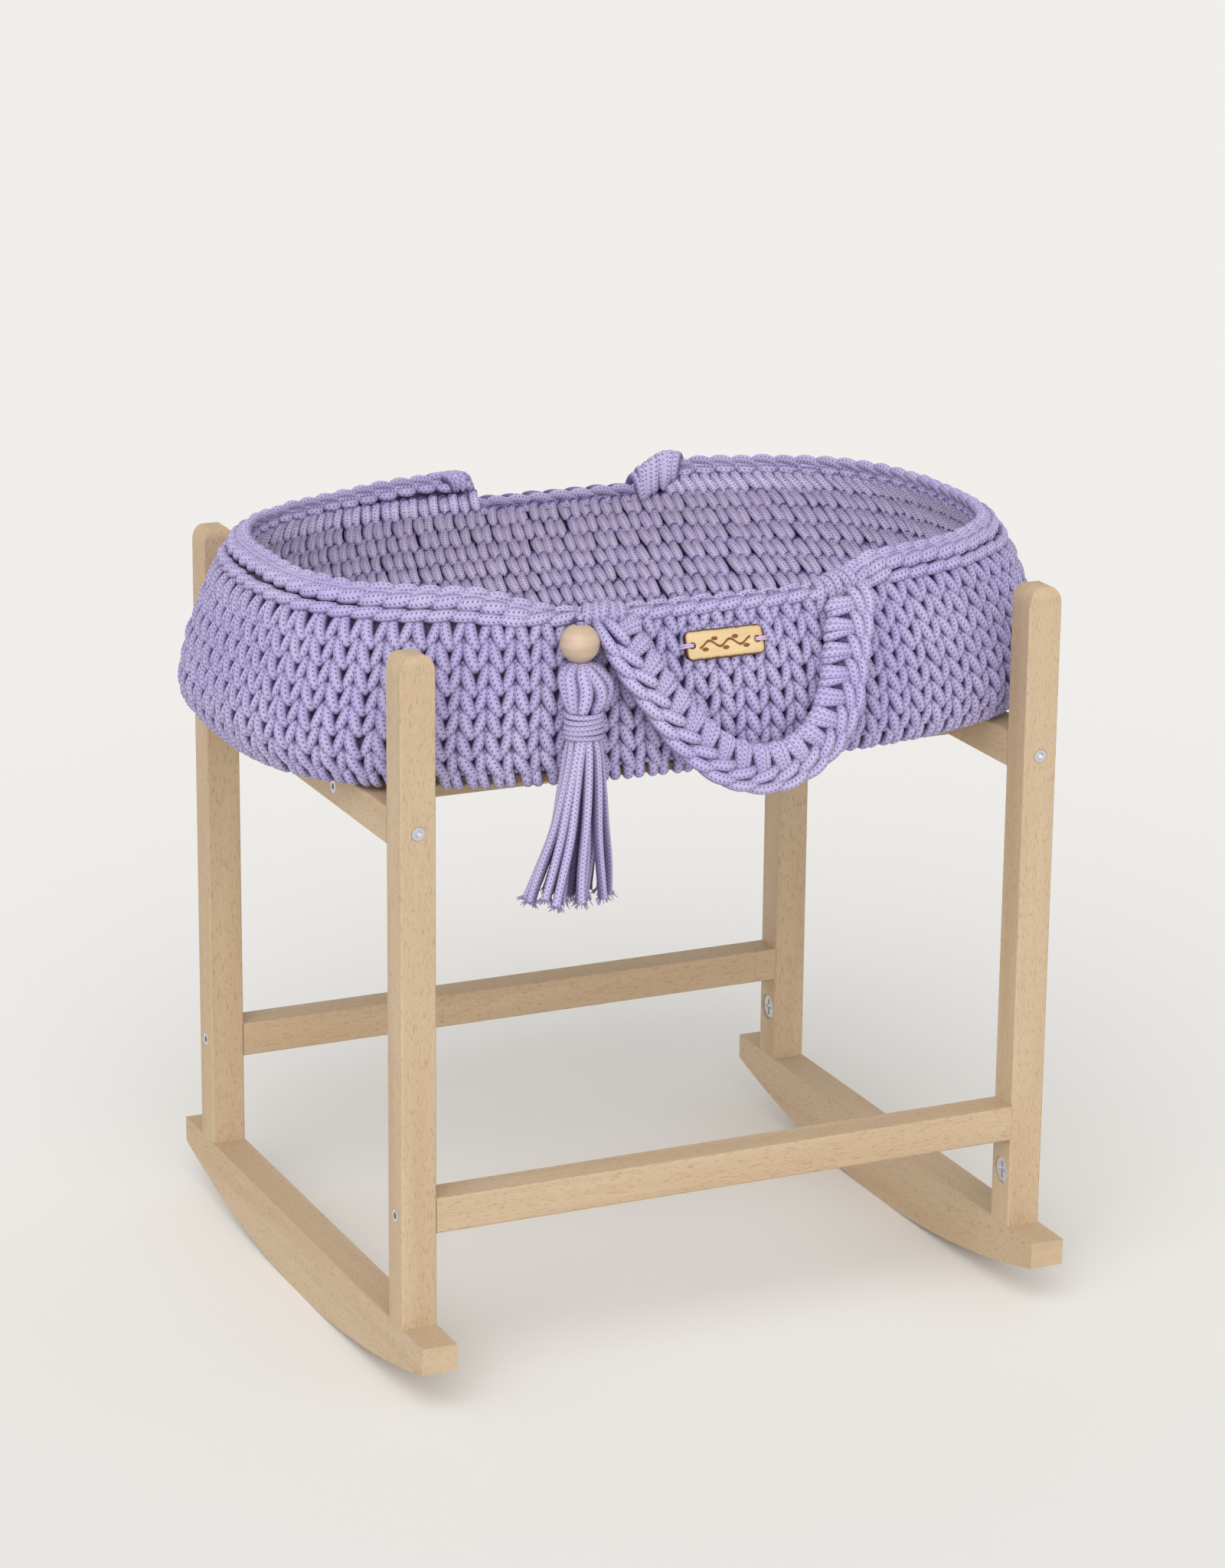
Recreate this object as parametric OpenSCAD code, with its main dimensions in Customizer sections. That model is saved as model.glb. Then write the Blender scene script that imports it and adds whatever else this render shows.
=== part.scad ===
// Doll-size Moses basket, crocheted on a plywood base, on a beech rocking stand.
// Millimetres. Floor at z = 0, origin under the middle of the stand,
// +X along the basket, -Y the side with the tag and the tassel, +Z up.

/* [Stand] */
// outside length of the stand, over the posts
stand_len = 388; // [380:1:400]
// outside width of the stand, over the posts
stand_wid = 317; // [314:1:330]
// side of the square beech lumber
lumber = 20; // [18:1:22]
// length of a post
post_h = 371; // [340:1:400]
// length of a rocker
rocker_len = 373; // [360:1:390]
// depth of a rocker at its middle
rocker_h = 40; // [38:1:46]
// depth of a rocker at its ends
rocker_end_h = 15; // [12:1:18]
// underside of the stretchers above the rockers
stretcher_up = 52; // [45:1:90]
// underside of the rails that carry the basket, above the rockers
rail_up = 266; // [240:1:280]
// distance from the middle to each bearer
bearer_off = 62; // [40:1:80]

/* [Basket] */
// widest length of the basket
basket_len = 484; // [480:1:500]
// widest width of the basket
basket_wid = 304; // [296:1:306]
// thickness of the crocheted wall
wall_t = 10; // [8:0.5:12]
// thickness of the plywood base
board_t = 4; // [3:0.5:5]
// number of lacing holes in the base
lace_n = 90; // [60:2:100]

/* [Trim] */
// length of the wooden tag
tag_len = 46; // [36:1:50]
// height of the wooden tag
tag_h = 16; // [12:1:18]
// diameter of the bead
bead_d = 21; // [18:0.5:22]
// width of a handle strap
strap_w = 24; // [20:1:25]
// thickness of a handle strap
strap_t = 14; // [12:0.5:14]

/* [Hidden] */
wood = [0.86, 0.72, 0.52];
ply = [0.80, 0.63, 0.40];
lilac = [0.68, 0.61, 0.84];
zinc = [0.75, 0.76, 0.78];
beige = [0.87, 0.76, 0.60];

post_x = stand_len / 2 - lumber / 2;
post_y = stand_wid / 2 - lumber / 2;
in_x = post_x - lumber / 2;
in_y = post_y - lumber / 2;
post_top = rocker_h + post_h;
stretcher_z = rocker_h + stretcher_up;
rail_z = rocker_h + rail_up;
rail_top = rail_z + lumber;
edge_r = 1.2;
rocker_sag = rocker_h - rocker_end_h;
rocker_r = (pow(rocker_len / 2, 2) + pow(rocker_sag, 2)) / (2 * rocker_sag);

// screws: flat head flush with the wood, hexagon socket
head_d = 7.5;
head_h = 3;
shank_d = 4;
screw_l = 36;
bore_gap = 0.4;

// cam fittings that hold the posts on the rockers
cam_d = 15;
cam_deep = 12;
cam_up = 31;
cam_z = rocker_h + cam_up;
cam_sink = 1;
bolt_d = 6;
bolt_foot = 12;

// basket: half length and half width of the outline at six equal steps from base to rim
seg = 96;
outline_n = 2.8;
level_l = [for (k = [0.956, 1, 0.986, 0.960, 0.927, 0.873]) k * basket_len / 2];
level_w = [for (k = [0.987, 1, 0.987, 0.961, 0.914, 0.862]) k * basket_wid / 2];
base_z = rail_top;
lace_t = 4;
board_z = base_z + lace_t;
board_l = level_l[0] - 3;
board_w = level_w[0] - 4;
wall_z = board_z + board_t;
rim_high = 431;
rim_back = 434;
rim_low = 417;
rim_deep = 12;

// handles: hinge line outside the rim, strap hanging over the belly of the wall
hinge_y = 141;
hinge_z = 413;
lean = 32;
drop = 90;
back_shift = 13;
strap_path = [
  [-65, 0], [-64, 8], [-61, 18], [-52, 34], [-41, 51], [-27, 67], [-10, 80], [9, 86],
  [27, 84], [43, 75], [54, 60], [60, 43], [65, 24], [70, 8], [71, 0]
];
strap_rings = 42;

// tassel
tassel_x = -88.5;
bead_y = -147.5;
bead_z = 405.5;

// ---- helpers ----

function mix(a, b, t) = a + (b - a) * t;
function clamp01(t) = max(0, min(1, t));
function ease(t) = clamp01(t) * clamp01(t) * (3 - 2 * clamp01(t));
function ramp(x, x0, x1, a, b) = mix(a, b, ease((x - x0) / (x1 - x0)));
function at(v, i) = v[max(0, min(len(v) - 1, i))];

// smooth curve through equally spaced values or points, t from 0 to 1
function curve(v, t) =
  let (s = clamp01(t) * (len(v) - 1), i = min(floor(s), len(v) - 2), f = s - i,
       a = at(v, i - 1), b = at(v, i), c = at(v, i + 1), d = at(v, i + 2))
  0.5 * ((2 * b) + (c - a) * f + (2 * a - 5 * b + 4 * c - d) * f * f
    + (3 * b - a - 3 * c + d) * f * f * f);

function bulge(c, n) = sign(c) * pow(abs(c), 2 / n);
function outline(l, w, a) = [l * bulge(cos(a), outline_n), w * bulge(sin(a), outline_n)];

// height of the rim: low between the handle roots, high round both ends
function rim_front(x) = x < 0 ? ramp(x, -146, -78, rim_high, rim_low) : ramp(x, 62, 100, rim_low, rim_high);
function rim_rear(x) =
  x < -36 ? ramp(x, -150, -60, rim_high, rim_back) : ramp(x, 60, 105, rim_low, rim_high);
function rim_z(x, front) = front ? rim_front(x) : rim_rear(x);

// height of the rim above angle a of the outline
function rim_top(a) = rim_z(outline(level_l[5], level_w[5], a)[0], sin(a) < 0);

// point of the wall at angle a and height z, set in by off: the ends narrow up to the high rim,
// the long sides up to the low rim
function wall_at(a, z, off) =
  let (p = outline(curve(level_l, (z - base_z) / (rim_high - base_z)) - off,
                   curve(level_w, (z - base_z) / (rim_low - base_z)) - off, a))
  [p[0], p[1], z];

// closed ring whose section is a loop of points, given as rings[i][j]; flip turns the faces round
module ring_solid(rings, flip = false) {
  n = len(rings);
  m = len(rings[0]);
  polyhedron(
    points = [for (r = rings) each r],
    faces = [
      for (i = [0:n - 1], j = [0:m - 1])
        let (i2 = (i + 1) % n, j2 = (j + 1) % m)
        each flip ? [
          [i * m + j, i2 * m + j2, i * m + j2],
          [i * m + j, i2 * m + j, i2 * m + j2]
        ] : [
          [i * m + j, i * m + j2, i2 * m + j2],
          [i * m + j, i2 * m + j2, i2 * m + j]
        ]
    ],
    convexity = 8
  );
}

// open sweep with flat ends, given as rings[i][j]
module sweep_solid(rings) {
  n = len(rings);
  m = len(rings[0]);
  polyhedron(
    points = [for (r = rings) each r],
    faces = concat(
      [[for (j = [0:m - 1]) m - 1 - j]],
      [for (i = [0:n - 2], j = [0:m - 1])
        let (j2 = (j + 1) % m)
        each [
          [i * m + j, i * m + j2, (i + 1) * m + j2],
          [i * m + j, (i + 1) * m + j2, (i + 1) * m + j]
        ]],
      [[for (j = [0:m - 1]) (n - 1) * m + j]]
    ),
    convexity = 8
  );
}

function unit(v) = v / norm(v);

module round_square(w, h, r) {
  square([w - 2 * r, h], center = true);
  square([w, h - 2 * r], center = true);
  for (sx = [-1, 1], sy = [-1, 1])
    translate([sx * (w / 2 - r), sy * (h / 2 - r)])
      circle(r = r, $fn = 16);
}

module bar(length) {
  linear_extrude(length, center = true)
    round_square(lumber, lumber, edge_r);
}

module bar_x(length) {
  rotate([0, 90, 0]) bar(length);
}

module bar_y(length) {
  rotate([90, 0, 0]) bar(length);
}

// screw pointing down, top of its head at z = 0
module screw() {
  difference() {
    union() {
      translate([0, 0, -head_h])
        cylinder(d = head_d, h = head_h, $fn = 32);
      translate([0, 0, -screw_l])
        cylinder(d = shank_d, h = screw_l - head_h / 2, $fn = 24);
    }
    translate([0, 0, -2])
      cylinder(d = 4, h = 3, $fn = 6);
  }
}

// clearance for a screw, to be cut from both pieces that it joins
module screw_bore() {
  translate([0, 0, -head_h])
    cylinder(d = head_d + bore_gap, h = head_h + 1, $fn = 32);
  translate([0, 0, -screw_l - 1])
    cylinder(d = shank_d + bore_gap, h = screw_l, $fn = 24);
}

module on_post_x(sx, sy) {
  translate([sx * (post_x + lumber / 2), sy * post_y, stretcher_z + lumber / 2])
    rotate([0, sx * 90, 0]) children();
}

module on_post_y(sx, sy) {
  translate([sx * post_x, sy * (post_y + lumber / 2), rail_z + lumber / 2])
    rotate([-sy * 90, 0, 0]) children();
}

module on_rail_x(sx, sy) {
  translate([sx * (post_x + lumber / 2), sy * bearer_off, rail_z + lumber / 2])
    rotate([0, sx * 90, 0]) children();
}

module on_corners() {
  for (sx = [-1, 1], sy = [-1, 1])
    translate([sx * post_x, sy * post_y, 0]) children();
}

module bolt_bore() {
  translate([0, 0, rocker_h - bolt_foot - 0.5])
    cylinder(d = bolt_d + bore_gap, h = bolt_foot + cam_up + 0.5, $fn = 32);
}

module cam_bore(sx) {
  translate([-sx * (lumber / 2 + 1), 0, cam_z])
    rotate([0, sx * 90, 0])
      cylinder(d = cam_d + bore_gap, h = cam_deep + 1, $fn = 48);
}

// ---- stand ----

module rocker(sx) {
  color(wood)
    difference() {
      translate([sx * post_x - lumber / 2, 0, 0])
        rotate([90, 0, 90])
          linear_extrude(lumber)
            intersection() {
              translate([-rocker_len / 2, 0])
                square([rocker_len, rocker_h]);
              translate([0, rocker_r])
                circle(r = rocker_r, $fn = 360);
            }
      for (sy = [-1, 1])
        translate([sx * post_x, sy * post_y, 0]) bolt_bore();
    }
}

module rocker_left() { rocker(-1); }
module rocker_right() { rocker(1); }

// post with a cushion top: a tall arch across X, softer rounding front and back
module post(sx, sy) {
  half = lumber / 2;
  arch_r = 6.5;
  arch_h = 12;
  soft_r = 4;
  soft_h = 6;
  color(wood)
    difference() {
      translate([sx * post_x, sy * post_y, 0])
        intersection() {
          translate([0, half, 0])
            rotate([90, 0, 0])
              linear_extrude(lumber)
                polygon(concat(
                  [[half, rocker_h]],
                  [for (i = [0:9])
                    [half - arch_r + arch_r * cos(i * 10), post_top - arch_h + arch_h * sin(i * 10)]],
                  [for (i = [0:9])
                    [-half + arch_r - arch_r * sin(i * 10), post_top - arch_h + arch_h * cos(i * 10)]],
                  [[-half, rocker_h]]
                ));
          translate([-half, 0, 0])
            rotate([90, 0, 90])
              linear_extrude(lumber)
                polygon(concat(
                  [[half, rocker_h]],
                  [for (i = [0:6])
                    [half - soft_r + soft_r * cos(i * 15), post_top - soft_h + soft_h * sin(i * 15)]],
                  [for (i = [0:6])
                    [-half + soft_r - soft_r * sin(i * 15), post_top - soft_h + soft_h * cos(i * 15)]],
                  [[-half, rocker_h]]
                ));
          translate([0, 0, rocker_h])
            linear_extrude(post_h)
              round_square(lumber, lumber, edge_r);
        }
      on_post_x(sx, sy) screw_bore();
      on_post_y(sx, sy) screw_bore();
      translate([sx * post_x, sy * post_y, 0]) {
        bolt_bore();
        cam_bore(sx);
      }
    }
}

module post_front_left() { post(-1, -1); }
module post_front_right() { post(1, -1); }
module post_back_left() { post(-1, 1); }
module post_back_right() { post(1, 1); }

module stretcher(sy) {
  color(wood)
    difference() {
      translate([0, sy * post_y, stretcher_z + lumber / 2]) bar_x(2 * in_x);
      for (sx = [-1, 1]) on_post_x(sx, sy) screw_bore();
    }
}

module stretcher_front() { stretcher(-1); }
module stretcher_back() { stretcher(1); }

module cross_rail(sx) {
  color(wood)
    difference() {
      translate([sx * post_x, 0, rail_z + lumber / 2]) bar_y(2 * in_y);
      for (sy = [-1, 1]) {
        on_post_y(sx, sy) screw_bore();
        on_rail_x(sx, sy) screw_bore();
      }
    }
}

module cross_rail_left() { cross_rail(-1); }
module cross_rail_right() { cross_rail(1); }

module bearer(sy) {
  color(wood)
    difference() {
      translate([0, sy * bearer_off, rail_z + lumber / 2]) bar_x(2 * in_x);
      for (sx = [-1, 1]) on_rail_x(sx, sy) screw_bore();
    }
}

module bearer_front() { bearer(-1); }
module bearer_back() { bearer(1); }

module stretcher_screws() {
  color(zinc)
    for (sx = [-1, 1], sy = [-1, 1]) on_post_x(sx, sy) screw();
}

module rail_screws() {
  color(zinc)
    for (sx = [-1, 1], sy = [-1, 1]) on_post_y(sx, sy) screw();
}

module bearer_screws() {
  color(zinc)
    for (sx = [-1, 1], sy = [-1, 1]) on_rail_x(sx, sy) screw();
}

// cam disc, slot in its face, hollow below for the head of the bolt
module cam_disc(sx) {
  face = lumber / 2 - cam_sink;
  translate([0, 0, cam_z])
    difference() {
      translate([-sx * face, 0, 0])
        rotate([0, sx * 90, 0])
          cylinder(d = cam_d, h = cam_deep - cam_sink, $fn = 48);
      translate([-sx * face, 0, 0])
        cube([2.4, 10, 1.8], center = true);
      translate([-sx * face, 0, 0])
        cube([2.4, 1.8, 10], center = true);
      translate([0, 0, -cam_d])
        cylinder(d = bolt_d + bore_gap, h = cam_d + 2, $fn = 32);
    }
}

module cam_discs() {
  color(zinc)
    for (sx = [-1, 1], sy = [-1, 1])
      translate([sx * post_x, sy * post_y, 0]) cam_disc(sx);
}

module cam_bolts() {
  color(zinc)
    on_corners()
      translate([0, 0, rocker_h - bolt_foot])
        cylinder(d = bolt_d, h = bolt_foot + cam_up - 0.5, $fn = 32);
}

// ---- basket ----

module flat_outline(l, w) {
  polygon([for (i = [0:seg - 1]) outline(l, w, i * 360 / seg)]);
}

// oval plywood base with a ring of lacing holes
module base_board() {
  color(ply)
    translate([0, 0, board_z])
      linear_extrude(board_t)
        difference() {
          flat_outline(board_l, board_w);
          for (i = [0:lace_n - 1])
            translate(outline(board_l - 7, board_w - 7, (i + 0.5) * 360 / lace_n))
              circle(d = 4, $fn = 16);
        }
}

// row of loops that wraps the edge of the base and carries the basket
module lacing() {
  color(lilac)
    translate([0, 0, base_z])
      difference() {
        linear_extrude(lace_t + board_t)
          flat_outline(board_l + 6, board_w + 6);
        translate([0, 0, -1])
          linear_extrude(lace_t + board_t + 2)
            flat_outline(board_l - 12, board_w - 12);
        translate([0, 0, lace_t])
          linear_extrude(board_t + 1)
            flat_outline(board_l, board_w);
      }
}

module wall() {
  steps = 8;
  color(lilac)
    ring_solid([
      for (i = [0:seg - 1])
        let (a = i * 360 / seg,
             top = rim_top(a) - rim_deep)
        concat(
          [for (k = [0:steps]) wall_at(a, mix(wall_z, top, k / steps), 0)],
          [for (k = [0:steps]) wall_at(a, mix(top, wall_z, k / steps), wall_t)]
        )
    ]);
}

module rim_braid() {
  color(lilac)
    ring_solid([
      for (i = [0:seg - 1])
        let (a = i * 360 / seg,
             top = rim_top(a),
             p = wall_at(a, top - rim_deep, 0),
             q = wall_at(a, top - rim_deep, wall_t),
             u = unit([q[0] - p[0], q[1] - p[1], 0]))
        [
          q,
          q + 2 * u + [0, 0, 3],
          q + 4 * u + [0, 0, 8],
          q + 1 * u + [0, 0, rim_deep],
          p + 5 * u + [0, 0, rim_deep],
          p + 1 * u + [0, 0, 8],
          p - 1 * u + [0, 0, 3],
          p
        ]
    ], flip = true);
}

// ---- handles ----

// strap profile: starts on the hinge line and follows the belly of the wall
function fall_y(s) = drop / (lean * PI / 180) * (cos(lean * (1 - s / drop)) - cos(lean));
function fall_z(s) = drop / (lean * PI / 180) * (sin(lean) - sin(lean * (1 - s / drop)));
function strap_point(x, s) = [x, -hinge_y - fall_y(s), hinge_z - fall_z(s)];
function strap_out(s) =
  let (a = lean * (1 - s / drop))
  [0, -cos(a), sin(a)];

module handle() {
  sides = 12;
  color(lilac)
    sweep_solid([
      for (i = [0:strap_rings])
        let (t = i / strap_rings,
             q = curve(strap_path, t),
             d = curve(strap_path, t + 0.01) - curve(strap_path, t - 0.01),
             n2 = [-d[1], d[0]] / norm(d),
             p = strap_point(q[0], q[1]),
             w = strap_point(q[0] + n2[0], q[1] + n2[1]) - p,
             o = strap_out(q[1]))
        [for (j = [0:sides - 1])
          let (a = j * 360 / sides)
          p + unit(w) * bulge(cos(a), 2.6) * strap_w / 2 - o * bulge(sin(a), 2.6) * strap_t / 2]
    ]);
}

module handle_front() { handle(); }

module handle_back() {
  translate([back_shift, 0, 0])
    mirror([0, 1, 0]) handle();
}

// ---- trim ----

tag_at = [-2.5, -142.6, 395.8];
tag_lean = 22.6;
tag_t = 3;
hole_in = 4;

module on_tag() {
  translate(tag_at)
    rotate([90 - tag_lean, 0, 0]) children();
}

module tag() {
  color(beige)
    on_tag()
      difference() {
        translate([0, 0, -tag_t / 2])
          linear_extrude(tag_t)
            round_square(tag_len, tag_h, 4);
        for (sx = [-1, 1])
          translate([sx * (tag_len / 2 - hole_in), 0, -tag_t])
            cylinder(d = 3, h = 2 * tag_t, $fn = 24);
      }
}

// lilac thread through each hole and over the end of the tag
module tag_threads() {
  color(lilac)
    on_tag()
      for (sx = [-1, 1])
        translate([sx * (tag_len / 2 - hole_in), 0, 0]) {
          translate([0, 0, -tag_t / 2])
            cylinder(d = 2, h = tag_t + 1, $fn = 24);
          translate([0, 0, tag_t / 2 + 1])
            rotate([0, sx * 90, 0])
              cylinder(d = 2, h = hole_in + 1.6, $fn = 24);
          translate([sx * (hole_in + 1.4), 0, -tag_t / 2])
            cylinder(d = 2, h = tag_t + 1, $fn = 24);
        }
}

// round solid lofted along a line of [x, y, z, radius across x, radius across y]
module loft(rows) {
  sides = 16;
  sweep_solid([
    for (r = rows)
      [for (j = [0:sides - 1])
        [r[0] + r[3] * cos(j * 360 / sides), r[1] + r[4] * sin(j * 360 / sides), r[2]]]
  ]);
}

// cord from the rim to the bead
module bead_cord() {
  color(lilac)
    loft([
      [-86.6, -135.8, 411, 2.0, 2.0],
      [-87, -137.0, 413, 2.2, 2.4],
      [-87.6, -141.0, 416, 2.2, 3.0],
      [-88.3, -145.3, 418, 2.2, 3.6],
      [-88.5, -147.2, 419, 2.2, 2.6]
    ]);
}

module bead() {
  color(beige)
    translate([tassel_x, bead_y, bead_z])
      difference() {
        sphere(d = bead_d, $fn = 48);
        translate([0, 0, -bead_d])
          cylinder(d = 5, h = 2 * bead_d, $fn = 24);
      }
}

// cord through the bead
module tassel_neck() {
  color(lilac)
    translate([tassel_x, bead_y, bead_z - bead_d / 2])
      cylinder(d = 4.4, h = bead_d + 0.5, $fn = 24);
}

module tassel_head() {
  color(lilac)
    loft([
      [-88.5, -147.8, bead_z - bead_d / 2, 3.5, 3.5],
      [-88.7, -149.4, 393, 9, 7],
      [-89, -151.4, 390, 12.5, 9.5],
      [-89.6, -154.0, 384, 14.5, 10.8],
      [-90.2, -156.2, 378.5, 13.5, 10.5],
      [-90.8, -158.0, 374.5, 11, 9],
      [-91.2, -158.9, 372.5, 9.5, 8]
    ]);
}

module tassel_band() {
  color(lilac)
    loft([
      [-91.2, -158.9, 372.5, 10.5, 8.5],
      [-91.5, -159.9, 368, 10.8, 8.8],
      [-92, -161.1, 362, 10.8, 8.8],
      [-92.3, -161.7, 358, 10.5, 8.5]
    ]);
}

module tassel_skirt() {
  color(lilac)
    loft([
      [-92.3, -161.7, 358, 9.5, 8],
      [-92.7, -162.7, 350, 11.5, 8.8],
      [-94, -163.5, 330, 14.5, 10],
      [-96, -164, 310, 17, 11.5],
      [-98.5, -164.5, 288, 20.5, 13],
      [-101, -165, 268, 24, 15]
    ]);
}

rocker_left();
rocker_right();
post_front_left();
post_front_right();
post_back_left();
post_back_right();
stretcher_front();
stretcher_back();
cross_rail_left();
cross_rail_right();
bearer_front();
bearer_back();
stretcher_screws();
rail_screws();
bearer_screws();
cam_discs();
cam_bolts();
base_board();
lacing();
wall();
rim_braid();
tag();
tag_threads();
handle_front();
handle_back();
bead_cord();
bead();
tassel_neck();
tassel_head();
tassel_band();
tassel_skirt();
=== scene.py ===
import bpy
import math
import numpy as np
from mathutils import Matrix


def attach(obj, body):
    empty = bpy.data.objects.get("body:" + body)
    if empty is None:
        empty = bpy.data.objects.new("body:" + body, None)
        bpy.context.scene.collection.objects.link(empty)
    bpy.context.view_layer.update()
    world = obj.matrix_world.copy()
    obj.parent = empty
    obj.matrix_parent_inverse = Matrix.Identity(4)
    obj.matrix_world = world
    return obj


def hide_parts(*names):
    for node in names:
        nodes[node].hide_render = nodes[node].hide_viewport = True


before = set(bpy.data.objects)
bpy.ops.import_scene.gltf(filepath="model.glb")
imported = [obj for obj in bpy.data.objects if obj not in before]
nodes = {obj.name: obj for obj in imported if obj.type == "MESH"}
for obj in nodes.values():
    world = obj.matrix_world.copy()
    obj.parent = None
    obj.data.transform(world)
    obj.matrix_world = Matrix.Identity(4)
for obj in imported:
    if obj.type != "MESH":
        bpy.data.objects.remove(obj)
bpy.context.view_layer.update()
rng = np.random.default_rng(11)
MM = 0.001

# middle of the front face of the tag, in mm, and the sine and cosine of its lean
TAG_X, TAG_Y, TAG_Z = -2.5, -142.6, 395.8
TAG_SIN, TAG_COS = 0.384, 0.923


# ---------------------------------------------------------------- camera, floor, light

CAMERA_AT = (-1.0451, -2.2760, 1.0364)
CAMERA_TURN, CAMERA_TILT, CAMERA_ROLL = 24.637, 16.863, 0.566
SENSOR_MM, LENS_MM = 36.0, 36.0 * 3.78375


def add_camera():
    az, el, roll = (math.radians(v) for v in (CAMERA_TURN, CAMERA_TILT, CAMERA_ROLL))
    fw = np.array([math.cos(el) * math.sin(az), math.cos(el) * math.cos(az), -math.sin(el)])
    right = np.array([math.cos(az), -math.sin(az), 0.0])
    up = np.cross(right, fw)
    r2 = math.cos(roll) * right + math.sin(roll) * up
    u2 = -math.sin(roll) * right + math.cos(roll) * up
    data = bpy.data.cameras.new("camera")
    data.sensor_fit = "HORIZONTAL"
    data.sensor_width = SENSOR_MM
    data.lens = LENS_MM
    data.clip_end = 60
    obj = bpy.data.objects.new("camera", data)
    bpy.context.scene.collection.objects.link(obj)
    obj.matrix_world = Matrix((
        (r2[0], u2[0], -fw[0], CAMERA_AT[0]),
        (r2[1], u2[1], -fw[1], CAMERA_AT[1]),
        (r2[2], u2[2], -fw[2], CAMERA_AT[2]),
        (0, 0, 0, 1),
    ))
    bpy.context.scene.camera = obj


add_camera()


def shade_nodes(name):
    mat = bpy.data.materials.new(name)
    mat.use_nodes = True
    nt = mat.node_tree
    bsdf = next(n for n in nt.nodes if n.type == "BSDF_PRINCIPLED")
    return mat, nt, bsdf


class Graph:
    """Short helpers for building a material's nodes."""

    def __init__(self, name):
        self.mat, self.nt, self.bsdf = shade_nodes(name)

    def node(self, kind, **values):
        n = self.nt.nodes.new(kind)
        for key, value in values.items():
            setattr(n, key, value)
        return n

    def put(self, socket, value):
        if isinstance(value, bpy.types.NodeSocket):
            self.nt.links.new(value, socket)
        else:
            socket.default_value = value

    def math(self, op, a, b=0.0, c=0.0, clamp=False):
        n = self.node("ShaderNodeMath", operation=op, use_clamp=clamp)
        for socket, value in zip(n.inputs, (a, b, c)):
            self.put(socket, value)
        return n.outputs[0]

    def step(self, value, lo, hi, out_lo=0.0, out_hi=1.0):
        n = self.node("ShaderNodeMapRange", interpolation_type="SMOOTHSTEP")
        for socket, v in zip(n.inputs, (value, lo, hi, out_lo, out_hi)):
            self.put(socket, v)
        return n.outputs[0]

    def mix(self, fac, a, b, blend="MIX"):
        n = self.node("ShaderNodeMix", data_type="RGBA", blend_type=blend)
        self.put(n.inputs[0], fac)
        self.put(n.inputs[6], a)
        self.put(n.inputs[7], b)
        return n.outputs[2]

    def noise(self, vector, scale, detail=3.0, rough=0.5, distort=0.0):
        n = self.node("ShaderNodeTexNoise")
        if vector is not None:
            self.put(n.inputs["Vector"], vector)
        n.inputs["Scale"].default_value = scale
        n.inputs["Detail"].default_value = detail
        n.inputs["Roughness"].default_value = rough
        n.inputs["Distortion"].default_value = distort
        return n.outputs["Fac"]

    def place(self, scale=(1, 1, 1), location=(0, 0, 0)):
        coord = self.node("ShaderNodeTexCoord")
        m = self.node("ShaderNodeMapping")
        self.put(m.inputs["Vector"], coord.outputs["Object"])
        m.inputs["Scale"].default_value = scale
        m.inputs["Location"].default_value = location
        return m.outputs["Vector"]

    def bump(self, height, strength, distance):
        n = self.node("ShaderNodeBump")
        n.inputs["Strength"].default_value = strength
        n.inputs["Distance"].default_value = distance
        self.put(n.inputs["Height"], height)
        self.put(self.bsdf.inputs["Normal"], n.outputs["Normal"])

    def set(self, **values):
        for key, value in values.items():
            self.put(self.bsdf.inputs[key.replace("_", " ")], value)
        return self.mat


FLOOR_HALF = 14.0
# painted shade: the floor colour darkens towards the camera, standing in for the fall-off of the light
FLOOR_NEAR, FLOOR_FAR = (0.765, 0.76, 0.745, 1), (0.825, 0.82, 0.805, 1)
SKY_STRENGTH = 0.80
SKY_LOW, SKY_HIGH = (1.45, 1.44, 1.42, 1), (0.45, 0.445, 0.44, 1)
# name, energy, angle, tilt and turn of each soft sun
SUNS = (("window", 0.95, 60, 42, -42), ("front_fill", 1.22, 60, 57, -24))
SUN_COLOR = (1.0, 0.985, 0.965)


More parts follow.
